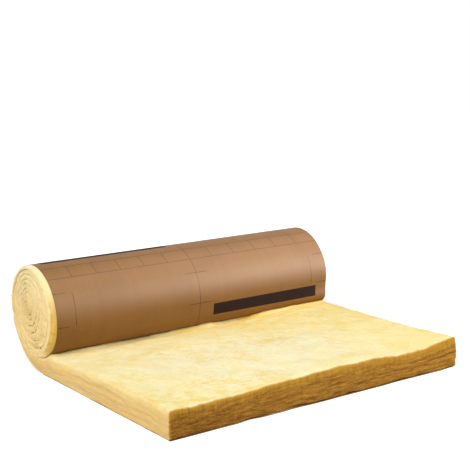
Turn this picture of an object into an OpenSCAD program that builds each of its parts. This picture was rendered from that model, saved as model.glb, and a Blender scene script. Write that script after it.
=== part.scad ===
// Roll of kraft-faced glass wool, partly unrolled.
// One long mat of wool, with paper bonded to its outer face, is wound into a roll.
// Its free run comes out from under the roll and lies flat on the floor, paper side down.
// X runs along the free run, Y along the roll's axis, Z up.
// The origin is at the middle of the base.

/* [Mat] */
// Width of the mat, along the axis of the roll
mat_w = 1200; // [300:10:1400]
// Thickness of the mat where it has fully sprung back, at its free end
mat_t = 100; // [85:1:130]
// Length of the run that lies flat on the floor
free_run = 860; // [400:10:2000]
// Thickness of the run where it comes out from under the roll
pressed_t = 76; // [66:1:84]
// Thickness of the paper facing with its glue
kraft_t = 0.5; // [0.3:0.1:1.5]

/* [Roll] */
// Outer radius of the roll
roll_r = 172; // [150:1:230]
// Radius of the open eye in the middle of the roll
eye_r = 12; // [6:1:25]
// Number of turns of the mat in the roll
turns = 8; // [4:1:9]
// Thickness of the outermost turn as a multiple of the innermost one
swell = 2.4; // [1:0.1:3]
// Thickness of the mat squeezed between the roll and the floor
bed_t = 57; // [45:1:64]

/* [Ends of the turns] */
// Width of the valley between two turns at the ends of the roll
valley_w = 4; // [2:0.5:6]
// Depth of that valley
valley_depth = 6; // [3:0.5:12]
// Depth to which the paper's edge is modelled below the valley
paper_seat = 3; // [1:0.5:8]

/* [Hidden] */
$fn = 128;

// The roll is a spiral of half turns, each a true arc. Even ones lie above the axis and
// odd ones below it. Half turn i has its outer face at radius turn_r(i), about a centre
// at turn_x(i), and each centre is set so that the arcs join without a step.
// Radii are kept to a tenth of a millimetre, so that joined arcs end at the very same point.
half_turns = 2 * turns;
first_growth = 2 * (roll_r - eye_r) / (half_turns * (1 + swell));
function in_tenths(length) = round(10 * length) / 10;
function grown(i) = first_growth * (i + (swell - 1) * i * (i - 1) / (2 * (half_turns - 1)));
function turn_r(i) = in_tenths(eye_r + grown(i));
function growth(i) = turn_r(i) - turn_r(i - 1);
function turn_x(i) =
    i >= half_turns ? -growth(half_turns) / 2
    : turn_x(i + 1) + (i % 2 == 0 ? -1 : 1) * growth(i + 1);

// The outermost half turn is over the axis, and the one before it rests on the run.
last = half_turns;
resting = half_turns - 1;
axis_z = bed_t + turn_r(resting);
back_x = turn_x(last) - turn_r(last);

// The mat bends up from the floor in a quarter circle, to the back of the roll.
bend_x = back_x + axis_z;
end_x = bend_x + free_run;
middle_x = (back_x + end_x) / 2;

// The run springs back along its length, fast at first and then more slowly.
spring_steps = 16;
function run_top(x) = mat_t - (mat_t - pressed_t) * pow((end_x - x) / free_run, 2);

// First half turn that has paper on its outer face
first_paper = 2;
// Part of the resting half turn whose edge shows, from the back down to the floor side
quarter_turn = 90;
// Room by which a cutting shape passes the face that it cuts
past = 1;

// Sets a section drawn with X across and Z up into place, as deep as the mat is wide
module across_width(depth = mat_w) {
    translate([-middle_x, 0, 0])
        rotate([90, 0, 0])
            linear_extrude(height = depth, center = true)
                children();
}

// Puts a shape that is made at the end Y = -mat_w / 2, outwards along its own Z, at both ends
module at_both_ends() {
    translate([-middle_x, 0, 0])
        for (side = [0, 1])
            mirror([0, side, 0])
                translate([0, -mat_w / 2, 0])
                    rotate([90, 0, 0])
                        children();
}

// Half or part of a ring about half turn i's centre, with its section as the child
module along_turn(i, angle = 180) {
    translate([turn_x(i), axis_z, 0])
        rotate_extrude(angle = angle, start = i % 2 == 0 ? 0 : 180)
            children();
}

// The side of the axis that a half turn is on, larger than the roll
module half_plane(i) {
    reach = 2 * roll_r;
    translate([-reach, axis_z + (i % 2 == 0 ? 0 : -reach)])
        square([2 * reach, reach]);
}

// Section of all that lies inside half turn i, drawn in by an inset
module turn_disc(i, inset = 0) {
    intersection() {
        translate([turn_x(i), axis_z])
            circle(r = turn_r(i) - inset);
        half_plane(i);
    }
}

// Section of the paper on the outer face of half turn i
module turn_paper(i) {
    difference() {
        turn_disc(i);
        translate([turn_x(i), axis_z])
            circle(r = turn_r(i) - kraft_t);
    }
}

// Section of the bend, from the floor to the back of the roll, drawn in by an inset
module bend_section(inset = 0) {
    reach = 2 * axis_z;
    intersection() {
        translate([bend_x, axis_z])
            circle(r = axis_z - inset);
        translate([bend_x - reach, axis_z - reach])
            square([reach, reach]);
    }
}

// Section of the flat run, with its top along the line that it springs back to
module run_section() {
    step = free_run / spring_steps;
    polygon(concat(
        [[bend_x, kraft_t], [end_x, kraft_t]],
        [for (k = [0:spring_steps]) [end_x - k * step, run_top(end_x - k * step)]]
    ));
}

// Section of the whole mat: the wound roll, the bend, and the run that carries the roll
module wool_section() {
    turn_disc(last, kraft_t);
    turn_disc(resting, kraft_t);
    difference() {
        union() {
            bend_section(kraft_t);
            run_section();
        }
        turn_disc(resting);
    }
}

// Valley between turns, where the wool draws back from the paper at the ends of the roll
module valley_profile(i) {
    translate([turn_r(i) - (kraft_t + valley_w) / 2, -valley_depth])
        square([valley_w, valley_depth + past]);
}

// Edge of the paper, standing in the valley
module paper_edge_profile(i) {
    depth = valley_depth + paper_seat;
    translate([turn_r(i) - kraft_t, -depth])
        square([kraft_t, depth]);
}

// Edges of the paper between the turns, at both ends of the roll
module paper_edges() {
    at_both_ends()
        for (i = [first_paper:resting - 1])
            along_turn(i) paper_edge_profile(i);
}

// Paper facing: under the run, up the bend, over the roll and down to the run again.
// Further in, it shows as an edge between the turns at both ends of the roll.
module kraft_facing() {
    color("#a5805a") {
        across_width() {
            translate([bend_x, 0])
                square([free_run, kraft_t]);
            difference() {
                bend_section();
                translate([bend_x, axis_z])
                    circle(r = axis_z - kraft_t);
            }
            turn_paper(last);
            turn_paper(resting);
        }
        paper_edges();
    }
}

// Glass wool mat, one piece from the eye of the roll to the free end
module wool_mat() {
    color("#ecd28c")
        difference() {
            across_width() wool_section();
            across_width(mat_w + 2 * past)
                translate([turn_x(0), axis_z])
                    circle(r = eye_r);
            at_both_ends() {
                for (i = [first_paper:resting - 1])
                    along_turn(i) valley_profile(i);
                along_turn(resting, quarter_turn) valley_profile(resting);
            }
            paper_edges();
        }
}

wool_mat();
kraft_facing();
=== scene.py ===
import math
from types import SimpleNamespace
import bmesh
import bpy
from mathutils import Matrix, Vector, noise


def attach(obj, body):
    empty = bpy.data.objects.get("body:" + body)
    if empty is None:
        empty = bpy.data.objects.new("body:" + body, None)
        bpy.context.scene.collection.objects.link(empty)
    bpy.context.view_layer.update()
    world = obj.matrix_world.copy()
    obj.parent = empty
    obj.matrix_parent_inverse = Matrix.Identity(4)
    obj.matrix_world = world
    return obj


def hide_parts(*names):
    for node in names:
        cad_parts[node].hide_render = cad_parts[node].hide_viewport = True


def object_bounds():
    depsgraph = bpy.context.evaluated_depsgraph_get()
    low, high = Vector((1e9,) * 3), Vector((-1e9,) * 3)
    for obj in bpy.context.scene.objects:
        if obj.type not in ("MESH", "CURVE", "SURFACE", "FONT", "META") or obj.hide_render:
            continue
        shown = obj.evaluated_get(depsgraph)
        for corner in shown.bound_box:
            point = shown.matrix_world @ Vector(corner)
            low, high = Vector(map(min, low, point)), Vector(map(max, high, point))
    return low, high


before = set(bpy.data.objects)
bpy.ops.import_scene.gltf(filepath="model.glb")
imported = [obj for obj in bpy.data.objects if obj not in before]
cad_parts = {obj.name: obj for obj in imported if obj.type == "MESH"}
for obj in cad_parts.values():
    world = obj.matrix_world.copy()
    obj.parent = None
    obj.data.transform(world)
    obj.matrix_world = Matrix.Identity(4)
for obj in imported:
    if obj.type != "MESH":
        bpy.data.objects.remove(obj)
cadLow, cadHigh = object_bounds()
print("frame loaded:", sorted(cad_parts))

# Camera, where the photo was taken from; all lengths in this file are metres
camera = {
    "place": (3.5748, -2.4790, 1.3478),
    "azimuth": 54.92,
    "elevation": 11.29,
    "roll": -1.08,
    "lens": 94.8,
    "sensor": 36,
}


def makeCamera(cfg):
    turn = math.radians(cfg["azimuth"])
    lift = math.radians(cfg["elevation"])
    back = Vector((math.sin(turn) * math.cos(lift), -math.cos(turn) * math.cos(lift), math.sin(lift)))
    right = Vector((math.cos(turn), math.sin(turn), 0))
    axes = Matrix((right, back.cross(right), back)).transposed()
    tilt = Matrix.Rotation(math.radians(cfg["roll"]), 3, "Z")
    data = bpy.data.cameras.new("photoCamera")
    data.lens = cfg["lens"]
    data.sensor_width = cfg["sensor"]
    data.sensor_fit = "HORIZONTAL"
    eye = bpy.data.objects.new("photoCamera", data)
    eye.matrix_world = Matrix.Translation(cfg["place"]) @ (axes @ tilt).to_4x4()
    bpy.context.scene.collection.objects.link(eye)
    bpy.context.scene.camera = eye


makeCamera(camera)
print("camera placed")


# Shader wiring: a socket that maths can be written on
class Wire:
    def __init__(self, tree, socket=None):
        self.tree = tree
        self.socket = socket

    def node(self, kind, settings=None, inputs=None, out=0):
        made = self.tree.nodes.new(kind)
        for key, value in (settings or {}).items():
            setattr(made, key, value)
        for key, value in (inputs or {}).items():
            if isinstance(value, Wire):
                self.tree.links.new(value.socket, made.inputs[key])
            else:
                made.inputs[key].default_value = value
        return Wire(self.tree, made.outputs[out] if made.outputs else None)

    def maths(self, operation, first, second=0.0, third=0.0):
        return self.node("ShaderNodeMath", {"operation": operation}, {0: first, 1: second, 2: third})

    def __add__(self, other):
        return self.maths("ADD", self, other)

    __radd__ = __add__

    def __sub__(self, other):
        return self.maths("SUBTRACT", self, other)

    def __rsub__(self, other):
        return self.maths("SUBTRACT", other, self)

    def __mul__(self, other):
        return self.maths("MULTIPLY", self, other)

    __rmul__ = __mul__

    def __truediv__(self, other):
        return self.maths("DIVIDE", self, other)

    def __rtruediv__(self, other):
        return self.maths("DIVIDE", other, self)

    def __abs__(self):
        return self.maths("ABSOLUTE", self)

    def clamped(self):
        return self.node("ShaderNodeClamp", None, {0: self})

    def atLeast(self, other):
        return self.maths("MAXIMUM", self, other)

    def nearest(self, period):  # distance to the nearest multiple of period
        return self.maths("PINGPONG", self, period / 2)

    def within(self, period):  # distance from the last multiple of period
        return self.maths("FLOORED_MODULO", self, period)

    def between(self, low, high, soft):  # 1 inside, 0 outside, with a soft rim
        middle = (low + high) / 2
        return (((high - low) / 2 - abs(self - middle)) / soft + 0.5).clamped()

    def ramp(self, low, high, start=0.0, end=1.0):
        return self.node("ShaderNodeMapRange", {"interpolation_type": "SMOOTHSTEP"},
                         {"Value": self, "From Min": low, "From Max": high,
                          "To Min": start, "To Max": end})

    def mixed(self, first, second):  # colours, with this socket as the factor
        return self.node("ShaderNodeMix", {"data_type": "RGBA"}, {0: self, 6: first, 7: second}, 2)

    def axis(self, name):  # one number of a vector
        return self.node("ShaderNodeSeparateXYZ", None, {0: self}, name)

    def stretched(self, scale):
        return self.node("ShaderNodeVectorMath", {"operation": "MULTIPLY"}, {0: self, 1: scale})

    def noise(self, scale, detail=2.0, roughness=0.5, distortion=0.0):
        return self.node("ShaderNodeTexNoise", None,
                         {"Vector": self, "Scale": scale, "Detail": detail,
                          "Roughness": roughness, "Distortion": distortion})

    def grains(self, rows):  # noise patterns by name, each as a row of scales, detail, roughness, warp
        return {name: self.stretched(scales).noise(1.0, *rest) for name, (scales, *rest) in rows.items()}


def rgb(red, green, blue):
    return (red, green, blue, 1.0)


def newMaterial(name):
    material = bpy.data.materials.new(name)
    material.use_nodes = True
    tree = material.node_tree
    tree.nodes.clear()
    return material, Wire(tree)


def finishMaterial(wires, colour, rough, height, depth, fixed):
    bump = wires.node("ShaderNodeBump", None, {"Strength": 1.0, "Distance": depth, "Height": height})
    sockets = {"Base Color": colour, "Roughness": rough, "Normal": bump}
    sockets.update(fixed)
    shader = wires.node("ShaderNodeBsdfPrincipled", None, sockets)
    wires.node("ShaderNodeOutputMaterial", None, {"Surface": shader})


def attribute(wires, name, out="Fac"):
    return wires.node("ShaderNodeAttribute", {"attribute_name": name}, None, out)


def objectSpace(wires):
    return wires.node("ShaderNodeTexCoord", None, None, "Object")


# The route of the mat in section, from the free end back under the roll and then inwards
roll = {
    "radius": 0.172,
    "eyeRadius": 0.012,
    "turns": 8,
    "swell": 2.4,  # outermost turn's thickness over the innermost one's
    "paper": 0.0005,
    "clear": 0.0006,  # room between wool and paper inside the roll
    "step": 0.0050,  # distance between stations along a turn
    "leastSteps": 16,  # stations in the smallest half turns
    "lean": (-0.026, 0.026),  # how far the middle of the roll sits off centre
    "narrow": 0.16,  # how much narrower the innermost turns are than round ones
    "taller": 0.7,  # share of that by which they are taller
    "wander": 0.0058,  # unevenness of the turns
    "wanderWaves": [(1.0, 15, 15, 0), (0.45, 44, 44, 3)],  # rows for the function waves
    "foldWaves": [(1.0, 78, 78, 6)],  # finer folds
    "folds": (0.28, 0.86),  # their share in the calm turns and in the crumpled ones
    "crumpledWay": (0.6, -0.8),  # direction from the axis in which turns are squeezed most
    "crumpledFade": 0.10,
    "bareBack": (110, 160),  # degrees round the bend over which its rim comes into the open
    "bareFoot": (-82, -37),  # degrees round the front over which the resting turn's rim does
    "lying": (48, 60),  # degrees below the front over which that turn comes to lie on the run
}
run = {
    "length": 0.86,
    "thick": 0.100,
    "pressed": 0.076,  # thickness from which it springs back, below the roll
    "firstSteps": (0.002, 0.003, 0.004, 0.005),  # distances between stations at the free end
    "step": 0.006,  # distance between the others
    "bendSteps": 34,
    "skewFade": 0.25,  # length over which sections lean before the bend
    "farSide": (0.10, 0.55),  # distances from the middle over which the far side sets in
    "farSpring": 0.85,  # share of its thickness that the far side wins back before the roll
    "farRise": 0.003,
}
# Slump of the soft roll, which grows towards its far end
slump = {
    "sink": (0.005, -0.009),  # how far the top has risen or sunk at the near and the far end
    "sinkFrom": (0.10, 0.30),  # heights over which that sets in
    "forward": 0.012,  # how far the far end has crept forward
    "stretch": 0.004,  # how far it stands out
    "creepFrom": (0.06, 0.22),  # heights over which these two set in
    "belly": 0.038,  # how far the front bulges over the run at the far end
    "bellyPlace": (0.13, 0.105),  # in front of the axis and above the floor
    "bellySize": (0.07, 0.05),
    "runsOut": (0.17, 0.32),  # distances in front of the axis over which all this ends
}
halfTurns = 2 * roll["turns"]
firstGrowth = 2 * (roll["radius"] - roll["eyeRadius"]) / (halfTurns * (1 + roll["swell"]))


def turnRadius(i):  # radius of a half turn, counted from the eye
    spread = (roll["swell"] - 1) * i * (i - 1) / (2 * (halfTurns - 1))
    return round(roll["eyeRadius"] + firstGrowth * (i + spread), 4)


def turnShift(i):  # its centre, in front of the axis, so that it meets the next one without a step
    if i >= halfTurns:
        return -(turnRadius(halfTurns) - turnRadius(halfTurns - 1)) / 2
    side = -1 if i % 2 == 0 else 1
    return turnShift(i + 1) + side * (turnRadius(i + 1) - turnRadius(i))


turnRadii = {i: turnRadius(i) for i in range(-2, halfTurns + 1)}
turnShifts = {i: turnShift(i) for i in range(-2, halfTurns + 1)}
width = cadHigh.y - cadLow.y
halfWidth = width / 2
nearY = -halfWidth
farY = halfWidth
axisZ = cadHigh.z - roll["radius"]
axisX = cadLow.x + roll["radius"] - turnShifts[halfTurns]
endX = cadHigh.x
bendX = endX - run["length"]
resting = halfTurns - 1  # the half turn that lies on the run


def smooth(value):
    value = min(1.0, max(0.0, value))
    return value * value * (3 - 2 * value)


def fade(value, start, end):  # 0 at start, 1 at end, smooth between
    return smooth((value - start) / (end - start))


def blend(first, second, share):
    return first + (second - first) * share


def hump(gap, size):  # 1 in the middle, falling off on both sides
    return math.exp(-(gap / size) ** 2)


def trail(gap, size):  # 1 at an edge, dying out away from it
    return math.exp(-gap / size)


def wave(x, y, z):
    return noise.noise(Vector((x, y, z)))


def waves(rows, x, y, seed=0.0):  # a row holds a height, how close the waves are each way, a seed
    return sum(height * wave(x * a, y * b, seed + own) for height, a, b, own in rows)


def turnPlace(i, angle, out=0.0):  # a point of a half turn's outer face
    reach = turnRadii[i] + out
    return axisX + turnShifts[i] + reach * math.cos(angle), axisZ + reach * math.sin(angle)


def crumpledAt(x, z):  # 1 in the lower front of the roll, where its turns are squeezed most
    ahead, up = roll["crumpledWay"]
    return fade(ahead * (x - axisX) + up * (z - axisZ), 0.0, roll["crumpledFade"])


def leaned(x, z):  # moves the turns inside the roll off centre, and leaves its outside alone
    dx = x - axisX
    dz = z - axisZ
    far = max(1e-6, math.hypot(dx, dz))
    i = halfTurns if dz >= 0 else resting
    across = turnShifts[i]
    rim = across * dx / far + math.sqrt(turnRadii[i] ** 2 - (across * dz / far) ** 2)
    share = min(1.0, far / rim)
    give = 1 - share ** 2
    squeeze = roll["narrow"] * give ** 2
    calm = roll["wander"] * (1 - share ** 6)
    folded = blend(*roll["folds"], crumpledAt(x, z))

    def wander(seed):
        folds = folded * waves(roll["foldWaves"], x, z, seed)
        return calm * (waves(roll["wanderWaves"], x, z, seed) + folds)

    return (x + roll["lean"][0] * give - dx * squeeze + wander(3.1),
            z + roll["lean"][1] * give + roll["taller"] * dz * squeeze + wander(9.7))


def settled(x, y, z):  # where a point of the wool or the paper comes to rest
    ahead = x - axisX
    share = (y - nearY) / width
    close = 1 - fade(ahead, *slump["runsOut"])
    raised = fade(z, *slump["creepFrom"])
    bulge = hump(ahead - slump["bellyPlace"][0], slump["bellySize"][0])
    bulge *= hump(z - slump["bellyPlace"][1], slump["bellySize"][1])
    sink = blend(*slump["sink"], share) * fade(z, *slump["sinkFrom"])
    return (x + close * share * (slump["forward"] * raised + slump["belly"] * bulge),
            y + close * raised * slump["stretch"] * smooth(y / halfWidth),
            z + close * sink)


def station(zone, turn, angle, out, along, into=None):  # a line across the mat, on both its faces
    away = (math.cos(angle), math.sin(angle))
    return {"zone": zone, "turn": turn, "angle": angle, "along": along,
            "out": out, "into": into, "away": away}


def makeStations():
    made = []
    steps = list(run["firstSteps"])
    passed = 0.0
    while passed < run["length"] - 1e-6:
        made.append(station("run", halfTurns + 1, -math.pi / 2, (endX - passed, 0.0), passed))
        passed += steps.pop(0) if steps else run["step"]
    passed = run["length"]
    quarter = axisZ * math.pi / 2
    for n in range(run["bendSteps"]):
        share = n / run["bendSteps"]
        angle = -math.pi / 2 * (1 + share)
        out = (bendX + axisZ * math.cos(angle), axisZ + axisZ * math.sin(angle))
        into = turnPlace(resting, angle, roll["clear"])
        made.append(station("bend", halfTurns + 1, angle, out, passed + quarter * share, into))
    passed += quarter
    for i in range(halfTurns, -1, -1):
        half = turnRadii[i] * math.pi
        count = max(roll["leastSteps"], round(half / roll["step"]))
        for n in range(count + (1 if i == 0 else 0)):
            angle = math.pi * (1 - n / count) - (0 if i % 2 == 0 else math.pi)
            into = turnPlace(i - 2, angle, roll["clear"])
            made.append(station("roll", i, angle, turnPlace(i, angle), passed + half * n / count, into))
        passed += half
    return made, passed


def woundAt(spot):  # 0 on the run, 1 in the roll
    if spot["zone"] == "bend":
        return fade(-spot["angle"], math.pi / 2, math.pi)
    return 1.0 if spot["zone"] == "roll" else 0.0


def openRim(spot):  # 1 where a turn is the outermost one, 0 where another lies over it
    degrees = math.degrees(spot["angle"])
    if spot["zone"] == "bend":
        return fade(-degrees, *roll["bareBack"])
    if spot["turn"] == resting:
        return fade(degrees, *roll["bareFoot"])
    return 1.0 if spot["turn"] == halfTurns else 0.0


stations, matLength = makeStations()
print("route of the mat:", len(stations), "stations,", round(matLength, 3), "m")

# Wool mat: one closed skin round the whole mat, from the free end to the eye of the roll
mat = {
    "endStep": 0.0033,  # spacing across the mat close to the free end
    "topStep": 0.0054,  # spacing across the rest of the top
    "rimPlaces": [0.0, 0.002, 0.005, 0.009, 0.014, 0.020],  # closer spacing beside the cut sides
    "hiddenPlaces": [0.0, 0.008, 0.03, halfWidth / 2],  # from either side, where nothing shows
    "endZone": 0.05,  # length of the part that has the spacing endStep
    "openFrom": (0.05, 0.15),  # distances in front of the axis over which the run comes into the open
    "sideRound": (0.010, 0.006),  # edges of the top along the near and the far side
    "endRound": 0.007,
    "endRoundFar": 0.5,  # share of it at the far corner
    "endRoundFade": 0.10,
    "footRound": 0.007,
    "cornerRound": 0.003,
    "roundFade": 0.016,  # how far the two draw the mat in, behind the free end
    "edgeFade": 0.02,  # how far behind a cut face of the run its unevenness reaches
    "flare": 0.008,  # how far the far corner of the free end spreads
    "flareFade": 0.10,
    # height of the free end's top edge against the mat's thickness, by distance from the near side
    "endWave": [(0.0, -0.001), (0.09, -0.007), (0.25, -0.005), (0.42, 0.004), (0.62, 0.010),
                (0.78, 0.008), (0.94, -0.003), (1.04, -0.006), (1.14, 0.005), (1.2, 0.012)],
    "endWaveFade": 0.30,
    # places along the free end where its lower edge lifts off the floor: place, width, height
    "lifts": [(0.30, 0.030, 0.004), (0.50, 0.035, 0.006), (0.72, 0.025, 0.004), (0.94, 0.045, 0.003),
              (1.04, 0.030, 0.003), (1.18, 0.020, 0.003)],
    "liftFade": 0.10,
    # unevenness of the faces, as rows for the function waves
    "topWaves": [(0.0042, 4.3, 3.7, 1.7), (0.0030, 15, 13, 5.2), (0.0013, 45, 38, 8.9)],
    "sideWaves": [(0.0026, 6, 7, 0), (0.0012, 26, 10, 3), (0.0009, 60, 28, 6)],
    "endWaves": [(0.0026, 7, 8, 21), (0.0018, 24, 24, 25), (0.0012, 60, 48, 27)],
    "turnWaves": [(0.0028, 3.1, 0.37, 0)],
    "faceWaves": [(0.0024, 30, 30, 5), (0.0016, 75, 75, 7)],
    "crown": 0.0035,  # how far a cut face of the run stands out halfway up
    # places where the wool swells up in front of the roll: place across the mat, width, height
    "swells": [(0.06, 0.18, 0.006), (0.45, 0.16, 0.004)],
    "swellPlace": 0.09,  # in front of the axis
    "swellFade": 0.07,
    "wrinkles": [(0.004, 30, 6, 71)],  # folds that lie along the foot of the roll
    "wrinkleFade": 0.15,
    "bead": 0.0135,  # height of the wool that bulges up in front of the foot of the roll
    "beadGap": 0.007,  # how far in front of it
    "beadWidth": 0.015,
    "beadEnds": (0.30, 0.55),  # distances from the middle over which the bead sinks at the far side
    # splits between the layers at the free end: start, end, height as a share, depth
    "splits": [(1.06, 1.20, 0.50, 0.012), (0.97, 1.09, 0.36, 0.010), (0.60, 0.70, 0.46, 0.005),
               (1.10, 1.19, 0.26, 0.007), (0.80, 0.90, 0.30, 0.005), (0.36, 0.44, 0.62, 0.004)],
    "splitOpens": 0.03,  # length over which a split opens at its start
    "splitCloses": 0.02,  # and closes at its end
    "splitWidth": 0.022,  # as a share of the height
    "splitWander": 0.035,
    "comb": 78,  # upright ridges to the metre in the upper part of the free end
    "combDepth": 0.0022,
    "combFrom": (0.5, 0.8),  # shares of the height over which they set in
    "combTop": 0.0014,  # their height on the top edge
    "combFade": 0.012,
    "valley": 0.0026,  # depth of the valleys between the turns
    "valleySharp": 10,
    "proud": 0.006,  # how far the turns stand out of the ends of the roll
    "rimProud": 0.005,  # how much further the outermost turn does
    "shoulder": 0.015,  # how far it falls away towards the paper's edge
    "shoulderSharp": 2.6,
    "crease": 0.0036,  # depth of the creases in the crumpled turns
    "creaseWidth": 0.17,
    "creaseCalm": 0.25,  # share of it in the other turns
    "dome": 0.010,  # how far the middle of the roll stands out at its ends
    "faceFade": 0.006,  # how far into the roll all this reaches
    "squeezedOut": 0.005,  # how far the mat under the roll stands out
    "squeezedFrom": (0.14, 0.02),  # distances in front of the axis over which that sets in
    "closing": 0.0015,  # how far the roll's ends swell over the paper's edge, down to that mat
    "closingFade": 0.002,
}


def spacedAcross(step):  # places across the mat
    rim = mat["rimPlaces"]
    inner = width - 2 * rim[-1]
    count = round(inner / step)
    middle = [nearY + rim[-1] + inner * n / count for n in range(1, count)]
    return [nearY + gap for gap in rim] + middle + [farY - gap for gap in reversed(rim)]


endAcross = spacedAcross(mat["endStep"])
topAcross = spacedAcross(mat["topStep"])
coarseAcross = [nearY + gap for gap in mat["hiddenPlaces"]] + [0.0]
coarseAcross += [farY - gap for gap in reversed(mat["hiddenPlaces"])]
fineThrough = [n / 26 for n in range(27)]
turnThrough = [0, 0.035, 0.09, 0.18, 0.30, 0.42, 0.5, 0.58, 0.70, 0.82, 0.91, 0.965, 1]
sideSeeds = {-1: 2.0, 1: 11.0}


def sideOf(y):
    return -1 if y < 0 else 1


def curveThrough(points, at):  # smooth curve through a few points
    for (a, low), (b, high) in zip(points, points[1:]):
        if at <= b:
            return blend(low, high, fade(at, a, b))
    return points[-1][1]


def dropAt(gap, radius):  # how far a rounded edge falls at that distance from it
    if gap >= radius:
        return 0.0
    return radius - math.sqrt(max(0.0, radius ** 2 - (radius - gap) ** 2))


def liftAt(x, y):  # how far the mat is off the floor
    lift = sum(height * hump(y - nearY - place, size) for place, size, height in mat["lifts"])
    return lift * fade(endX - x, mat["liftFade"], 0.0)


def combAt(y):  # ridges of the combed fibres
    return wave(y * mat["comb"], 0.4, 31.0) + 0.5 * wave(y * 2.3 * mat["comb"], 0.4, 35.0)


def beadAt(y):  # uneven height of the bead in front of the roll
    uneven = 0.75 + 0.6 * wave(y * 8, 0.2, 77.0) + 0.3 * wave(y * 23, 0.2, 79.0)
    return mat["bead"] * uneven * (1 - 0.9 * fade(y, *mat["beadEnds"]))


def topAt(x, y):  # height of the run's top
    gapEnd = endX - x
    ahead = x - axisX - turnShifts[resting]
    sprung = fade(y, *run["farSide"])
    back = (gapEnd / run["length"]) ** 2 * (1 - run["farSpring"] * sprung)
    height = blend(run["thick"], run["pressed"], back) + run["farRise"] * sprung
    height += curveThrough(mat["endWave"], y - nearY) * fade(gapEnd, mat["endWaveFade"], 0.0)
    height += waves(mat["topWaves"], x, y)
    height += mat["combTop"] * combAt(y) * trail(gapEnd, mat["combFade"])
    swell = sum(rise * hump(y - place, size) for place, size, rise in mat["swells"])
    height += swell * hump(ahead - mat["swellPlace"], mat["swellFade"])
    height += waves(mat["wrinkles"], x, y) * trail(abs(ahead - mat["swellPlace"]), mat["wrinkleFade"])
    radius = turnRadii[resting]
    if abs(ahead) < radius:
        touch = math.sqrt(max(0.0, radius ** 2 - (axisZ - height) ** 2))
        height += beadAt(y) * hump(ahead - touch - mat["beadGap"], mat["beadWidth"])
        height = min(height, axisZ - math.sqrt(radius ** 2 - ahead ** 2) - roll["clear"])
    return height


def crownAt(through):  # bulge of a cut face, most halfway up
    return mat["crown"] * (1 - (2 * through - 1) ** 2)


def sidePuff(along, through, y):  # how far the cut side of the run stands out
    under = fade(endX - along - axisX, *mat["squeezedFrom"])
    puff = waves(mat["sideWaves"], along, through, sideSeeds[sideOf(y)])
    return puff + mat["squeezedOut"] * under * fade(through, 0.2, 0.8) + crownAt(through)


def endPuff(through, y):  # how far the free end stands out
    across = y - nearY
    puff = waves(mat["endWaves"], y, through) + crownAt(through)
    puff += mat["combDepth"] * combAt(y) * fade(through, *mat["combFrom"])
    for start, end, level, depth in mat["splits"]:
        wavy = level + mat["splitWander"] * wave(y * 17, level * 40, 7.0)
        gape = fade(across, start, start + mat["splitOpens"])
        gape *= fade(across, end, end - mat["splitCloses"])
        puff -= depth * gape * hump(through - wavy, mat["splitWidth"])
    return puff


def runPoint(spot, through, y):  # through is 0 at the paper and 1 at the other face of the mat
    x = spot["out"][0]
    skew = axisX + turnShifts[resting] - bendX
    inX = x + skew * fade(x - bendX, run["skewFade"], 0.0)
    gapEnd = endX - x
    gapSide = halfWidth - abs(y)
    side = sideOf(y)
    low = roll["paper"] + liftAt(x, y)
    nearRound, farRound = mat["sideRound"]
    sideRound = (nearRound if y < 0 else farRound) * (1 + 0.6 * wave(x * 9, side * 4.0, 61.0))
    endRound = mat["endRound"] * blend(1, mat["endRoundFar"], fade(farY - y, mat["endRoundFade"], 0.0))
    top = topAt(inX, y) - dropAt(gapEnd, endRound)
    top -= fade(x - axisX, *mat["openFrom"]) * dropAt(gapSide, sideRound)
    pz = blend(low, top, through)
    foot = mat["footRound"] * (0.8 + 0.6 * wave(y * 31, 0.5, 51.0))
    drawn = dropAt(gapSide, mat["cornerRound"]) + dropAt(pz - low, foot)
    px = blend(x, inX, through) + endPuff(through, y) * trail(gapEnd, mat["edgeFade"])
    px -= drawn * trail(gapEnd, mat["roundFade"])
    flare = mat["flare"] * trail(gapEnd, mat["flareFade"]) if y > 0 else 0.0
    py = y + side * (sidePuff(spot["along"], through, y) + flare) * trail(gapSide, mat["edgeFade"])
    return px, py, pz


def domeAt(x, z):  # bulge of the roll's ends, most at the axis
    return mat["dome"] * max(0.0, 1 - ((x - axisX) ** 2 + (z - axisZ) ** 2) / roll["radius"] ** 2)


def creaseAt(spot, through, x, y, z):  # grooves that wander along the crumpled turns
    line = abs(wave(spot["along"] * 30, through * 2.7, sideSeeds[sideOf(y)] + 12))
    return max(0.0, 1 - line / mat["creaseWidth"]) * blend(mat["creaseCalm"], 1, crumpledAt(x, z))


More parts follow.
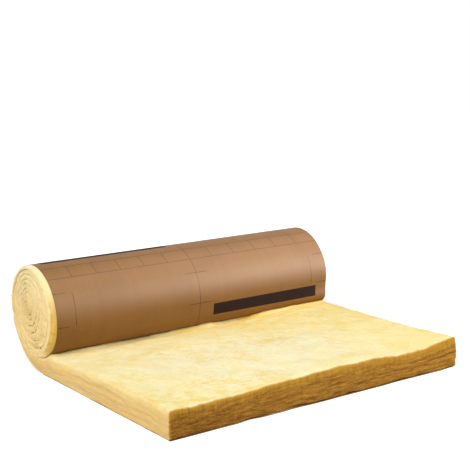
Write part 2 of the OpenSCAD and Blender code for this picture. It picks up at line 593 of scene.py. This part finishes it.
def rollPoint(spot, through, y):  # the same as runPoint, for the bend and the roll
    gapSide = halfWidth - abs(y)
    side = sideOf(y)
    seed = sideSeeds[side]
    along = spot["along"]
    inset = roll["paper"] + roll["clear"]
    if spot["turn"] == resting:
        lying = fade(-math.degrees(spot["angle"]), *roll["lying"])
        inset -= mat["closing"] * lying * trail(gapSide, mat["closingFade"])
    x = blend(spot["out"][0] - spot["away"][0] * inset, spot["into"][0], through)
    z = blend(spot["out"][1] - spot["away"][1] * inset, spot["into"][1], through)
    if spot["zone"] == "roll":
        x, z = leaned(x, z)
    rim = openRim(spot)
    sharp = mat["valleySharp"]
    valley = mat["valley"] * (0.45 + 1.1 * wave(along * 6, 0.3, seed + 8))
    valley *= (1 - through) ** sharp * (1 - rim) + through ** sharp
    shoulder = mat["shoulder"] * (0.4 + 0.6 * smooth(0.5 + 0.6 * math.cos(spot["angle"])))
    shoulder *= (1 - through) ** mat["shoulderSharp"]
    puff = mat["proud"] - valley + rim * (mat["rimProud"] - shoulder)
    puff += waves(mat["turnWaves"], along, spot["turn"], seed) + waves(mat["faceWaves"], x, z, seed)
    puff += domeAt(x, z) - mat["crease"] * creaseAt(spot, through, x, y, z) * (1 - rim)
    puff = blend(sidePuff(along, through, y), puff, woundAt(spot))
    return x, y + side * puff * trail(gapSide, mat["faceFade"]), z


# How the finish changes over the wool, as numbers at its points
marking = {
    "endFade": 0.005,  # breadth of the free end's own finish round its edges
    "sideFade": (0.008, 0.048),  # the same of the cut sides, in the open and under the roll
    "coveredFrom": (0.13, 0.05),  # distances in front of the axis over which the roll covers the run
    "seamSharp": 14,
    "seamBare": 0.3,  # how much stronger the seam inside the outermost turn is
    "rimTo": (0.72, 0.37),  # shares of the thickness over which the open rim sets in
    "pressedTo": 0.085,  # distance in front of the axis up to which the painted bounce light at the foot of the roll is strongest
    "bounceFade": 0.12,
}
markNames = ("atEnd", "atSide", "wound", "seam", "rim", "pressed", "crease")


def marksAt(cfg, spot, through, unsettled, place, y):
    onRun = spot["zone"] == "run"
    atEnd = trail(spot["along"], cfg["endFade"]) if onRun else 0.0
    covered = fade(spot["out"][0] - axisX, *cfg["coveredFrom"]) if onRun else 1.0
    atSide = trail(halfWidth - abs(y), blend(*cfg["sideFade"], covered))
    wound = woundAt(spot)
    bare = openRim(spot)
    inner = through ** cfg["seamSharp"] * (1 + cfg["seamBare"] * bare)
    outer = (1 - through) ** cfg["seamSharp"] * (1 - bare)
    seam = wound * max(inner, outer)
    facing = 0.9 * math.cos(spot["angle"] + 0.6) - 0.1  # above 0 on the lower front, where shade is painted on the open rim, below 0 on its upper side, where light is painted
    rim = bare * fade(through, *cfg["rimTo"]) * facing
    # painted warm bounce light, strongest at the foot of the roll
    pressed = 0.0
    if onRun and through == 1:
        pressed = trail(max(0.0, place[0] - axisX - cfg["pressedTo"]), cfg["bounceFade"])
    crease = wound * (1 - bare) * creaseAt(spot, through, *unsettled)
    return atEnd, atSide, wound, seam, rim, pressed, crease


def joinRows(faces, first, firstAt, second, secondAt):  # a strip between two rows of any counts
    if len(first) == len(second):
        for n in range(len(first) - 1):
            faces.append((first[n], first[n + 1], second[n + 1], second[n]))
        return
    i = 0
    j = 0
    while i < len(first) - 1 or j < len(second) - 1:
        onFirst = j == len(second) - 1
        if not onFirst and i < len(first) - 1:
            onFirst = firstAt[i + 1] <= secondAt[j + 1]
        if onFirst:
            faces.append((first[i], first[i + 1], second[j]))
            i += 1
        else:
            faces.append((first[i], second[j + 1], second[j]))
            j += 1


def buildWool():
    places = []
    spaces = []
    marks = []
    known = {}
    faces = []

    def vertex(k, through, y):
        key = (k, round(through, 5), round(y, 5))
        if key not in known:
            spot = stations[k]
            known[key] = len(places)
            point = runPoint if spot["zone"] == "run" else rollPoint
            unsettled = point(spot, through, y)
            place = settled(*unsettled)
            places.append(place)
            spaces.append((spot["along"], through * run["thick"], y))
            marks.append(marksAt(marking, spot, through, unsettled, place, y))
        return known[key]

    def across(k, through, ys):
        return [vertex(k, through, y) for y in ys], ys

    def upright(k, y, levels):
        return [vertex(k, through, y) for through in levels], levels

    def cover(rows):
        for (first, firstAt), (second, secondAt) in zip(rows, rows[1:]):
            joinRows(faces, first, firstAt, second, secondAt)

    last = len(stations) - 1
    onRun = [spot for spot in stations if spot["zone"] == "run"]
    combed = sum(1 for spot in onRun if spot["along"] < mat["endZone"])
    shown = sum(1 for spot in onRun if spot["out"][0] > axisX + mat["openFrom"][0])
    firstWound = next(k for k, spot in enumerate(stations) if spot["zone"] == "roll")
    cover([across(k, 1, endAcross if k < combed else topAcross if k < shown else coarseAcross)
           for k in range(last + 1)])
    cover([across(k, 0, endAcross if k == 0 else coarseAcross) for k in range(last + 1)])
    for y in (nearY, farY):
        cover([upright(k, y, fineThrough if k <= firstWound else turnThrough) for k in range(last + 1)])
    cover([across(0, through, endAcross) for through in fineThrough])
    cover([across(last, through, coarseAcross) for through in turnThrough])
    return places, faces, {"matSpace": spaces}, marks


def meshObject(name, places, faces, vectors, floats):
    mesh = bpy.data.meshes.new(name)
    mesh.from_pydata(places, [], faces)
    for key, values in vectors.items():
        layer = mesh.attributes.new(key, "FLOAT_VECTOR", "POINT")
        layer.data.foreach_set("vector", [c for value in values for c in value])
    for key, values in floats.items():
        layer = mesh.attributes.new(key, "FLOAT", "POINT")
        layer.data.foreach_set("value", list(values))
    work = bmesh.new()
    work.from_mesh(mesh)
    bmesh.ops.recalc_face_normals(work, faces=work.faces)
    work.to_mesh(mesh)
    work.free()
    mesh.polygons.foreach_set("use_smooth", [True] * len(mesh.polygons))
    mesh.update()
    made = bpy.data.objects.new(name, mesh)
    bpy.context.scene.collection.objects.link(made)
    return made


woolFinish = {
    "top": rgb(0.96, 0.87, 0.505),
    # also painted light on the upper side of the roll's open rim
    "topPale": rgb(0.96, 0.915, 0.70),
    "topDeep": rgb(0.90, 0.71, 0.24),
    "bounceGold": rgb(0.91, 0.63, 0.140),  # painted warm bounce light on the wool at the foot of the roll
    "side": rgb(0.765, 0.535, 0.220),
    "sideDeep": rgb(0.72, 0.473, 0.173),
    "sideGold": rgb(0.79, 0.525, 0.141),
    "sidePale": rgb(0.795, 0.60, 0.333),
    # tip, end and endDeep: the cut face's own deeper colour, darkened further with painted shade
    "tip": rgb(0.53, 0.275, 0.031),  # combed upper part of the free end
    "end": rgb(0.495, 0.245, 0.037),
    "endDeep": rgb(0.198, 0.076, 0.008),
    "foot": rgb(0.09, 0.038, 0.008),  # painted shadow along its lower edge
    "turns": rgb(0.98, 0.77, 0.385),
    # painted light on the upper part of the roll's ends
    "turnsLit": rgb(1.0, 0.84, 0.47),
    "turnsDeep": rgb(0.93, 0.65, 0.225),
    "rim": rgb(0.775, 0.505, 0.108),  # painted shade on the outermost turn, low on the front
    "rimDeep": rgb(0.68, 0.41, 0.075),
    "seam": rgb(0.70, 0.47, 0.18),  # between the turns, and painted shade in their creases
    "bump": 0.004,
    "fixed": {"Specular IOR Level": 0.03, "Sheen Weight": 0.03, "Sheen Roughness": 0.6,
              "Sheen Tint": rgb(1.0, 0.86, 0.55)},
    # patterns: scales along, through and across the mat, detail, roughness, warp
    "grains": {
        "layers": ((55, 185, 26), 5.0, 0.65, 1.2),  # laid fibres, seen on cut faces
        "beds": ((22, 95, 9), 3.0, 0.55, 0.8),  # thicker layers of them
        "plies": ((16, 46, 16), 3.0, 0.6, 0.5),  # the same, squeezed in the roll
        "comb": ((1, 5, 1.8 * mat["comb"]), 3.0, 0.6, 0.2),
        "patch": ((3.5, 3.5, 3.5), 2.0, 0.5),
        "cloud": ((8, 8, 8), 3.0, 0.55, 0.3),
        "tuft": ((13, 22, 13), 3.0, 0.6, 0.4),
        "blotch": ((24, 24, 24), 3.0, 0.55, 0.2),
        "fleck": ((75, 75, 75), 4.0, 0.65, 0.6),
        "hair": ((420, 420, 420), 2.0, 0.6),
        "streak": ((34, 34, 8), 3.0, 0.6, 0.3),  # folds along the foot of the roll, which streak the painted bounce light
        "stroke": ((120, 120, 34), 2.0, 0.5, 0.4),  # short strands that lie across the top
        "crinkle": ((95, 11, 95), 3.0, 0.6),  # bends the creases along the turns
    },
}


def woolWires(cfg, wires):  # the marks, the patterns and the place in the mat, by name
    space = attribute(wires, "matSpace", "Vector")
    skin = SimpleNamespace(along=space.axis("X"), depth=space.axis("Y"), across=space.axis("Z"),
                           **{name: attribute(wires, name) for name in markNames},
                           **space.grains(cfg["grains"]))
    skin.high = objectSpace(wires).axis("Z")
    skin.tan = skin.blotch.ramp(0.38, 0.76) * 0.48 + skin.fleck.ramp(0.46, 0.78) * 0.36
    skin.tan = (skin.tan + skin.stroke.ramp(0.56, 0.68) * 0.7) * skin.patch.ramp(0.38, 0.62, 0.35, 1.1)
    skin.tan = skin.tan + skin.cloud.ramp(0.36, 0.70) * 0.4
    skin.folds = (skin.depth + (skin.crinkle - 0.5) * 0.11).nearest(0.05).ramp(0.013, 0.0)  # wavy creases
    return skin


def topColour(cfg, skin):
    # painted warm bounce light from the paper at the foot of the roll, streaked along the folds there
    bounceShare = skin.pressed * (skin.streak.ramp(0.34, 0.62) * 0.65 + 0.38)
    bounceShare = (bounceShare * skin.across.ramp(-0.45, 0.35, 0.15, 1.7)).clamped()
    pale = skin.along.between(0.03, 0.60, 0.25) * skin.across.between(-0.42, 0.40, 0.35)
    pale = pale * skin.cloud.ramp(0.3, 0.55)
    # painted shade: the top grows deeper towards the far side
    far = skin.across.ramp(0.05, 0.55) * 0.30
    front = skin.across.ramp(-0.25, -0.5) * skin.along.ramp(0.30, 0.05)
    front = front * skin.blotch.ramp(0.35, 0.65) * 0.35
    deep = (skin.tan + far + front).clamped()
    colour = deep.mixed(pale.mixed(cfg["top"], cfg["topPale"]), cfg["topDeep"])
    return bounceShare.mixed(colour, cfg["bounceGold"])


def sideColour(cfg, skin, top):
    deep = skin.layers.ramp(0.36, 0.70) * 0.18 + skin.beds.ramp(0.38, 0.70) * 0.14 + skin.tan * 0.55 + 0.1
    colour = deep.clamped().mixed(cfg["side"], cfg["sideDeep"])
    colour = (skin.tuft.ramp(0.52, 0.68) * 0.6).mixed(colour, cfg["sideGold"])
    colour = (skin.tuft.ramp(0.45, 0.30) * 0.55).mixed(colour, cfg["sidePale"])
    lip = (skin.depth + (skin.blotch - 0.5) * 0.03).ramp(0.074, 0.102)
    return (lip * 0.4).mixed(colour, top)


def turnColour(cfg, skin):
    eyeShade = skin.along.ramp(matLength - 0.9, matLength - 0.2) * 0.25  # painted shade, deeper round the eye
    ply = skin.plies.ramp(0.40, 0.66) * 0.3 + skin.blotch.ramp(0.5, 0.75) * 0.3
    ply = ply + skin.fleck.ramp(0.5, 0.7) * 0.15 + eyeShade
    # painted shade in the creases of the folds
    ply = (ply + skin.folds * skin.crinkle.ramp(0.35, 0.65, 0.15, 0.9)).clamped()
    outside = skin.rim.ramp(0.0, 0.8)
    plain = outside.mixed(cfg["turns"], cfg["rim"])
    deep = outside.mixed(cfg["turnsDeep"], cfg["rimDeep"])
    # painted light on the upper side of the open rim, painted shade on its lower front
    colour = skin.rim.ramp(0.0, -0.8).mixed(ply.mixed(plain, deep), cfg["topPale"])
    # painted light: the roll's ends turn paler towards their top
    litTop = skin.high.ramp(axisZ - 0.02, axisZ + 0.14) * (1 - outside)
    colour = (litTop * 0.6).mixed(colour, cfg["turnsLit"])
    # painted shade in the creases of the crumpled turns
    colour = (skin.crease.ramp(0.0, 0.8) * 0.5).mixed(colour, cfg["seam"])
    return (skin.seam * skin.cloud.ramp(0.35, 0.7, 0.1, 0.5)).mixed(colour, cfg["seam"])


def endColour(cfg, skin):
    cut = skin.layers.ramp(0.40, 0.64) * 0.6 + skin.beds.ramp(0.42, 0.66) * 0.35
    cut = (cut + skin.blotch.ramp(0.5, 0.75) * 0.2).clamped()
    # painted shade: the free end grows darker towards its near side
    deep = (cut + skin.across.ramp(-0.6, -0.05, 0.27, 0.0)).clamped()
    tips = (skin.depth + (skin.comb - 0.5) * skin.across.ramp(0.0, 0.45, 0.07, 0.03)).ramp(0.064, 0.112)
    colour = tips.mixed(deep.mixed(cfg["end"], cfg["endDeep"]), cfg["tip"])
    colour = (skin.atSide.ramp(0.35, 1.0) * 0.6).mixed(colour, cfg["tip"])
    # painted shadow: a dark, uneven band along the free end's lower edge
    foot = (skin.depth + (skin.blotch - 0.5) * 0.012).ramp(0.0015, 0.0085)
    return foot.mixed(cfg["foot"], colour)


def woolMaterial(cfg):
    material, wires = newMaterial("glassWool")
    skin = woolWires(cfg, wires)
    top = topColour(cfg, skin)
    edge = (skin.atSide * skin.blotch.ramp(0.3, 0.7, 0.75, 1.5)).ramp(0.10, 0.80)
    colour = edge.mixed(top, skin.wound.mixed(sideColour(cfg, skin, top), turnColour(cfg, skin)))
    frayed = (skin.atEnd + (skin.blotch - 0.5) * 0.5).ramp(0.25, 0.95)
    colour = frayed.mixed(colour, endColour(cfg, skin))
    height = skin.layers * 0.42 + (skin.plies * 0.4 - skin.folds * 0.22) * skin.wound
    height = height + skin.blotch * 0.7 + skin.fleck * 0.8 + skin.hair * 0.2
    finishMaterial(wires, colour, skin.hair.ramp(0.0, 1.0, 0.85, 1.0), height, cfg["bump"], cfg["fixed"])
    return material


woolPlaces, woolFaces, woolVectors, woolMarks = buildWool()
woolFloats = {name: [marks[n] for marks in woolMarks] for n, name in enumerate(markNames)}
wool = meshObject("wool_mat_soft", woolPlaces, woolFaces, woolVectors, woolFloats)
wool.data.materials.append(woolMaterial(woolFinish))
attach(wool, "root")
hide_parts("wool_mat")
print("wool mat:", len(woolPlaces), "points,", len(woolFaces), "faces")

# Kraft paper: one sheet bonded to the outer face of the mat, from the free end to the eye
sheet = {
    "acrossStep": 0.014,
    "rimBack": 0.005,  # the paper's edge stops this far short of the mat's width on the roll
    "farBack": 0.002,  # the same at the far end
    "innerBack": 0.0020,  # the same inside the roll
    "runBack": -0.0008,  # under the run it stands out a little
    "cockle": 0.00035,  # waviness of the bonded paper
}


def onOutside(spot):  # where the paper is the outside of the roll
    return spot["zone"] == "bend" or (spot["zone"] == "roll" and spot["turn"] >= resting)


def cockleAt(spot, y):
    ripple = wave(spot["along"] * 9, y * 5, 41.0) + 0.6 * wave(spot["along"] * 30, y * 13, 43.0)
    return sheet["cockle"] * (ripple + 1.0) * 0.5


def sheetPoint(spot, y, inside):
    back = sheet["runBack"] if spot["zone"] == "run" else sheet["innerBack"]
    inward = roll["paper"] if inside else 0.0
    if onOutside(spot):
        back = sheet["rimBack"] if y < 0 else sheet["farBack"]
        inward += cockleAt(spot, y)
    x = spot["out"][0] - spot["away"][0] * inward
    z = spot["out"][1] - spot["away"][1] * inward
    py = y * (halfWidth - back) / halfWidth
    if spot["zone"] == "run":
        z += liftAt(spot["out"][0], y)
    if spot["zone"] == "roll":
        x, z = leaned(x, z)
        py += sideOf(y) * domeAt(x, z) * trail(halfWidth - abs(y), mat["faceFade"])
    return settled(x, py, z)


def buildSheet():
    places = []
    spaces = []
    faces = []
    rows = []
    shownAcross = spacedAcross(sheet["acrossStep"])
    for k, spot in enumerate(stations):
        ys = shownAcross if onOutside(spot) or k == 0 else coarseAcross
        row = []
        for inside in (False, True):
            first = len(places)
            places += [sheetPoint(spot, y, inside) for y in ys]
            spaces += [(y - nearY, spot["along"], 0.0) for y in ys]
            row.append(list(range(first, len(places))))
        rows.append((ys, row))
    for (ysA, rowA), (ysB, rowB) in zip(rows, rows[1:]):
        for inside in (0, 1):
            joinRows(faces, rowA[inside], ysA, rowB[inside], ysB)
        for edge in (0, -1):
            faces.append((rowA[0][edge], rowA[1][edge], rowB[1][edge], rowB[0][edge]))
    for ys, row in (rows[0], rows[-1]):
        for n in range(len(ys) - 1):
            faces.append((row[0][n], row[0][n + 1], row[1][n + 1], row[1][n]))
    return places, faces, {"sheetSpace": spaces}


kraftFinish = {
    "paper": rgb(0.225, 0.092, 0.007),
    "paperDeep": rgb(0.173, 0.066, 0.003),
    "line": rgb(0.042, 0.013, 0.001),
    "ink": rgb(0.020, 0.008, 0.005),
    "blur": 0.0010,  # softness of all print
    "startAngle": 72,  # degrees above the front of the roll at which the guide starts
    "rule": 0.06,  # rows of the printed guide, along the mat
    "cell": 0.10,  # columns of the printed guide, across the mat
    "repeat": 0.36,  # length after which the guide's rows come again
    "lineWidth": 0.0024,
    "dashEdge": 0.05,  # length of the short rows at either edge
    "dashMiddle": 0.55,  # distance from the edge at which those in the middle start
    "stem": 0.075,  # distance from the edge of the short upright beside them
    "barWidth": 0.05,
    "barRepeat": 0.742,
    # dark bars: start and end across the sheet, distance from the start of the guide
    "bars": [(0.663, 1.150, 0.252), (0.03, 0.56, -0.098)],
    "film": 0.36,  # glossy film on the paper, which the ink hides
    "bump": 0.0012,
    # patterns: scales across and along the sheet, detail, roughness
    "grains": {
        "wear": ((30, 30, 1), 2.0, 0.5),
        "fibre": ((240, 90, 1), 3.0, 0.6),
        "cloud": ((5, 7, 1), 3.0, 0.55),
        "band": ((26, 1.5, 1), 3.0, 0.6),
        "streak": ((95, 1.2, 1), 2.0, 0.6),
    },
}


def kraftGuide(cfg, across, down):  # grid of thin printed lines
    soft = cfg["blur"]
    rule = cfg["rule"]
    place = down.within(cfg["repeat"])

    def line(gap):
        return ((cfg["lineWidth"] / 2 - gap) / soft + 0.5).clamped()

    fullRows = line(place).atLeast(line(abs(place - rule))).atLeast(line(abs(place - cfg["repeat"])))
    cells = line(across.nearest(cfg["cell"])) * place.between(0.0, rule, soft)
    dashRows = line(abs(place - 2 * rule)).atLeast(line(abs(place - 4 * rule)))
    nearEdge = halfWidth - abs(across - halfWidth)  # distance from the nearer edge of the sheet
    dashes = nearEdge.between(-cfg["dashEdge"], cfg["dashEdge"], soft)
    dashes = dashes.atLeast(nearEdge.between(cfg["dashMiddle"], width, soft))
    stems = line(abs(nearEdge - cfg["stem"])) * place.between(2 * rule, 4 * rule, soft)
    middle = line(abs(across - halfWidth))
    return fullRows.atLeast(cells).atLeast(dashRows * dashes).atLeast(stems).atLeast(middle)


def kraftBar(cfg, across, down, first, last, offset):
    rows = (down - offset).within(cfg["barRepeat"])
    return across.between(first, last, cfg["blur"]) * rows.between(0, cfg["barWidth"], cfg["blur"])


def kraftMaterial(cfg):
    material, wires = newMaterial("kraftPaper")
    space = attribute(wires, "sheetSpace", "Vector")
    paper = SimpleNamespace(**space.grains(cfg["grains"]))
    across = space.axis("X")
    backOfRoll = run["length"] + axisZ * math.pi / 2  # length of paper up to the back of the roll
    down = space.axis("Y") - (backOfRoll + roll["radius"] * math.radians(180 - cfg["startAngle"]))
    guide = kraftGuide(cfg, across, down) * paper.wear.ramp(0.25, 0.7, 0.7, 1.0)
    farBar, nearBar = (kraftBar(cfg, across, down, *row) for row in cfg["bars"])
    bars = farBar.atLeast(nearBar)
    tone = paper.fibre.ramp(0.35, 0.75) * 0.3 + paper.cloud.ramp(0.35, 0.7) * 0.3
    tone = (tone + paper.band.ramp(0.35, 0.7) * 0.22 + paper.streak.ramp(0.3, 0.7) * 0.2).clamped()
    colour = guide.mixed(tone.mixed(cfg["paper"], cfg["paperDeep"]), cfg["line"])
    colour = bars.mixed(colour, cfg["ink"])
    rough = (paper.cloud * 0.16 + paper.fibre * 0.1 + 0.36 + bars * 0.35).clamped()
    height = paper.fibre * 0.25 + paper.cloud * 0.6
    film = (1 - bars - guide * 0.5).clamped() * cfg["film"]
    fixed = {"Specular IOR Level": 0.1, "Coat Weight": film, "Coat Roughness": 0.6, "Coat IOR": 1.6}
    finishMaterial(wires, colour, rough, height, cfg["bump"], fixed)
    return material


sheetPlaces, sheetFaces, sheetVectors = buildSheet()
kraft = meshObject("kraft_sheet", sheetPlaces, sheetFaces, sheetVectors, {})
kraft.data.materials.append(kraftMaterial(kraftFinish))
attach(kraft, "root")
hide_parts("kraft_facing")
print("kraft sheet:", len(sheetPlaces), "points,", round(matLength, 2), "m long")

# Loose fibres that stand off the wool, strewn by a node tree
fibres = {
    "perSquareMetre": 2600.0,
    "length": 0.016,
    "radius": 0.00014,
    "seed": 4,
    "turns": ((-0.5, -0.35, 0.0), (0.5, 0.25, 2 * math.pi)),  # least and most, about each axis
    "sizes": (0.45, 1.3),  # shortest and longest, as shares of the length
    "onTop": 0.35,  # share of them on the top of the run
    "onSides": 0.7,  # share on the cut sides
    "topFrom": 0.10,  # distance in front of the axis at which those on the top begin
    "topBelow": 0.13,  # height that the top of the run stays under
    "rollTo": 0.09,  # distance in front of the axis up to which the seams of the roll stay bare
    "clearOf": (0.018, 0.030),  # heights over which they set in above the floor
    "pale": rgb(0.93, 0.80, 0.48),
    "deep": rgb(0.85, 0.62, 0.25),
    "end": rgb(0.72, 0.40, 0.09),  # on the free end
    "bump": 0.0002,
}


def fibreTree(cfg):
    tree = bpy.data.node_groups.new("looseFibres", "GeometryNodeTree")
    asked = {"Geometry": "Geometry", "Per square metre": "Float", "Fibre length": "Float",
             "Fibre radius": "Float", "Seed": "Int", "Finish": "Material"}
    for name, kind in asked.items():
        tree.interface.new_socket(name, in_out="INPUT", socket_type="NodeSocket" + kind)
    tree.interface.new_socket("Geometry", in_out="OUTPUT", socket_type="NodeSocketGeometry")
    wires = Wire(tree)
    source = tree.nodes.new("NodeGroupInput")
    given = {socket.name: Wire(tree, socket) for socket in source.outputs if socket.name}
    where = wires.node("GeometryNodeInputNamedAttribute", {"data_type": "FLOAT"}, {"Name": "fuzz"})
    strewn = wires.node("GeometryNodeDistributePointsOnFaces", None,
                        {"Mesh": given["Geometry"], "Density": given["Per square metre"] * where,
                         "Seed": given["Seed"]})
    aim = Wire(tree, strewn.socket.node.outputs["Rotation"])
    spin = wires.node("FunctionNodeRandomValue", {"data_type": "FLOAT_VECTOR"},
                      {0: cfg["turns"][0], 1: cfg["turns"][1], "Seed": given["Seed"]})
    spin = wires.node("FunctionNodeEulerToRotation", None, {0: spin})
    turned = wires.node("FunctionNodeRotateRotation", {"rotation_space": "LOCAL"},
                        {"Rotation": aim, "Rotate By": spin})
    size = wires.node("FunctionNodeRandomValue", {"data_type": "FLOAT"},
                      {2: cfg["sizes"][0], 3: cfg["sizes"][1], "Seed": given["Seed"]}, 1)

    def reach(x, z):  # a point of the bowed fibre, as shares of its length
        put = wires.node("ShaderNodeCombineXYZ", None, {0: x, 2: z})
        return wires.node("ShaderNodeVectorMath", {"operation": "SCALE"},
                          {0: put, "Scale": given["Fibre length"]})

    bow = wires.node("GeometryNodeCurveQuadraticBezier", None,
                     {"Resolution": 4, "Start": reach(-0.1, -0.04), "Middle": reach(0.5, 0.30),
                      "End": reach(1.0, 0.06)})
    ring = wires.node("GeometryNodeCurvePrimitiveCircle", None,
                      {"Resolution": 3, "Radius": given["Fibre radius"]})
    hair = wires.node("GeometryNodeCurveToMesh", None,
                      {"Curve": bow, "Profile Curve": ring, "Fill Caps": True})
    placed = wires.node("GeometryNodeInstanceOnPoints", None,
                        {"Points": strewn, "Instance": hair, "Rotation": turned, "Scale": size})
    whole = wires.node("GeometryNodeRealizeInstances", None, {0: placed})
    dressed = wires.node("GeometryNodeSetMaterial", None,
                         {"Geometry": whole, "Material": given["Finish"]})
    wires.node("NodeGroupOutput", None, {0: dressed})
    return tree


def fibreMaterial(cfg):
    material, wires = newMaterial("looseFibre")
    place = objectSpace(wires)
    tone = place.noise(9.0, 2.0)
    colour = tone.ramp(0.3, 0.7).mixed(cfg["pale"], cfg["deep"])
    colour = place.axis("X").ramp(endX - 0.02, endX + 0.002).mixed(colour, cfg["end"])
    rough = tone.ramp(0.2, 0.8, 0.7, 0.9)
    finishMaterial(wires, colour, rough, tone, cfg["bump"], {"Specular IOR Level": 0.3})
    return material


def fuzzAt(cfg, point, mark):  # how thickly the fibres stand at a point of the wool
    onTop = point.normal.z > 0.4 and point.co.x > axisX + cfg["topFrom"] and point.co.z < cfg["topBelow"]
    onSide = abs(point.normal.y) > 0.6
    inSeam = point.co.x < axisX + cfg["rollTo"] and mark["seam"] + abs(mark["rim"]) > 0.02
    sides = cfg["onSides"] if onSide and not inSeam else 0.0
    top = cfg["onTop"] if onTop else 0.0
    return max(mark["atEnd"], sides, top) * fade(point.co.z, *cfg["clearOf"])


def makeFibres(cfg):
    host = bpy.data.objects.new("fibreHost", wool.data.copy())
    bpy.context.scene.collection.objects.link(host)
    fuzz = host.data.attributes.new("fuzz", "FLOAT", "POINT")
    fuzz.data.foreach_set("value", [fuzzAt(cfg, point, dict(zip(markNames, woolMarks[k])))
                                    for k, point in enumerate(host.data.vertices)])
    tree = fibreTree(cfg)
    modifier = host.modifiers.new("looseFibres", "NODES")
    modifier.node_group = tree
    chosen = {"Per square metre": cfg["perSquareMetre"], "Fibre length": cfg["length"],
              "Fibre radius": cfg["radius"], "Seed": cfg["seed"], "Finish": fibreMaterial(cfg)}
    for item in tree.interface.items_tree:
        if item.in_out == "INPUT" and item.name in chosen:
            modifier[item.identifier] = chosen[item.name]
    graph = bpy.context.evaluated_depsgraph_get()
    mesh = bpy.data.meshes.new_from_object(host.evaluated_get(graph))
    made = bpy.data.objects.new("loose_fibres", mesh)
    bpy.context.scene.collection.objects.link(made)
    bpy.data.objects.remove(host)
    return made


loose = makeFibres(fibres)
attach(loose, "root")
print("loose fibres:", len(loose.data.polygons), "faces")

# Studio: pale floor, white surroundings and soft light
studio = {
    "floorSize": 14.0,
    "floorBelow": 0.0004,  # gap under the object
    "floorTone": rgb(0.50, 0.495, 0.49),
    "floorWhite": (0.72, 0.97),  # own glow of the floor, beside the object and far from it
    "floorFade": (0.9, 2.2),  # distances over which the one becomes the other
    "worldTone": rgb(1.0, 0.98, 0.95),
    "worldStrength": 0.25,
    "keyFrom": (1.0, -3.5, 1.9),  # direction of the main light, which comes evenly from far away
    "keySpread": 27,  # its width, in degrees
    "keyStrength": 2.54,
    # name, place, target, size, watts, colour, and whether it lights matt surfaces too
    "lamps": [
        ("overhead", (0.8, -0.9, 2.9), (-0.1, 0.0, 0.1), 2.0, 29.5, (1.0, 1.0, 1.0), True),
        ("sheen", (2.6, 3.1, 1.2), (-0.2, 0.45, 0.25), 1.6, 100.0, (1.0, 0.96, 0.80), True),
        ("gloss", (2.2, 2.5, 1.6), (-0.2, 0.2, 0.25), 2.8, 280.0, (1.0, 1.0, 1.0), False),
        ("topGloss", (0.1, 2.0, 3.2), (-0.3, 0.1, 0.35), 2.4, 130.0, (1.0, 1.0, 1.0), False),
    ],
}
white = rgb(1, 1, 1)


def backgroundRay(wires):  # 1 where the surroundings are seen, and not only give light
    seen, glossy, through = (wires.node("ShaderNodeLightPath", None, None, name)
                             for name in ("Is Camera Ray", "Is Glossy Ray", "Is Transmission Ray"))
    return seen.atLeast(glossy).atLeast(through)


def makeWorld(cfg):
    world = bpy.data.worlds.new("studio")
    bpy.context.scene.world = world
    world.use_nodes = True
    world.node_tree.nodes.clear()
    wires = Wire(world.node_tree)
    seen = backgroundRay(wires)
    strength = seen.ramp(0.0, 1.0, cfg["worldStrength"], 1.0)
    tone = seen.mixed(cfg["worldTone"], white)
    light = wires.node("ShaderNodeBackground", None, {"Color": tone, "Strength": strength})
    wires.node("ShaderNodeOutputWorld", None, {"Surface": light})


def floorMaterial(cfg):
    material, wires = newMaterial("studioFloor")
    matte = wires.node("ShaderNodeBsdfDiffuse", None, {"Color": cfg["floorTone"]})
    away = wires.node("ShaderNodeVectorMath", {"operation": "LENGTH"}, {0: objectSpace(wires)}, "Value")
    strength = away.ramp(*cfg["floorFade"], *cfg["floorWhite"])
    glow = wires.node("ShaderNodeEmission", None, {"Color": white, "Strength": strength})
    lit = wires.node("ShaderNodeAddShader", None, {0: matte, 1: glow})
    shown = wires.node("ShaderNodeMixShader", None, {0: backgroundRay(wires), 1: matte, 2: lit})
    wires.node("ShaderNodeOutputMaterial", None, {"Surface": shown})
    return material


def makeFloor(cfg):
    half = cfg["floorSize"] / 2
    outline = ((-half, -half), (half, -half), (half, half), (-half, half))
    corners = [(x, y, -cfg["floorBelow"]) for x, y in outline]
    mesh = bpy.data.meshes.new("studioFloor")
    mesh.from_pydata(corners, [], [(0, 1, 2, 3)])
    mesh.materials.append(floorMaterial(cfg))
    floor = bpy.data.objects.new("studioFloor", mesh)
    bpy.context.scene.collection.objects.link(floor)


def makeLamps(cfg):
    data = bpy.data.lights.new("key", "SUN")
    data.energy = cfg["keyStrength"]
    data.angle = math.radians(cfg["keySpread"])
    key = bpy.data.objects.new("key", data)
    key.rotation_euler = Vector(cfg["keyFrom"]).to_track_quat("Z", "Y").to_euler()
    bpy.context.scene.collection.objects.link(key)
    for name, place, target, size, watts, tint, diffuse in cfg["lamps"]:
        data = bpy.data.lights.new(name, "AREA")
        data.shape = "DISK"
        data.size = size
        data.energy = watts
        data.color = tint
        lamp = bpy.data.objects.new(name, data)
        aim = (Vector(target) - Vector(place)).to_track_quat("-Z", "Y")
        lamp.matrix_world = Matrix.Translation(place) @ aim.to_matrix().to_4x4()
        lamp.visible_camera = False
        lamp.visible_diffuse = diffuse
        bpy.context.scene.collection.objects.link(lamp)


bpy.context.scene.view_settings.view_transform = "Standard"
makeWorld(studio)
makeFloor(studio)
makeLamps(studio)
print("studio lit")
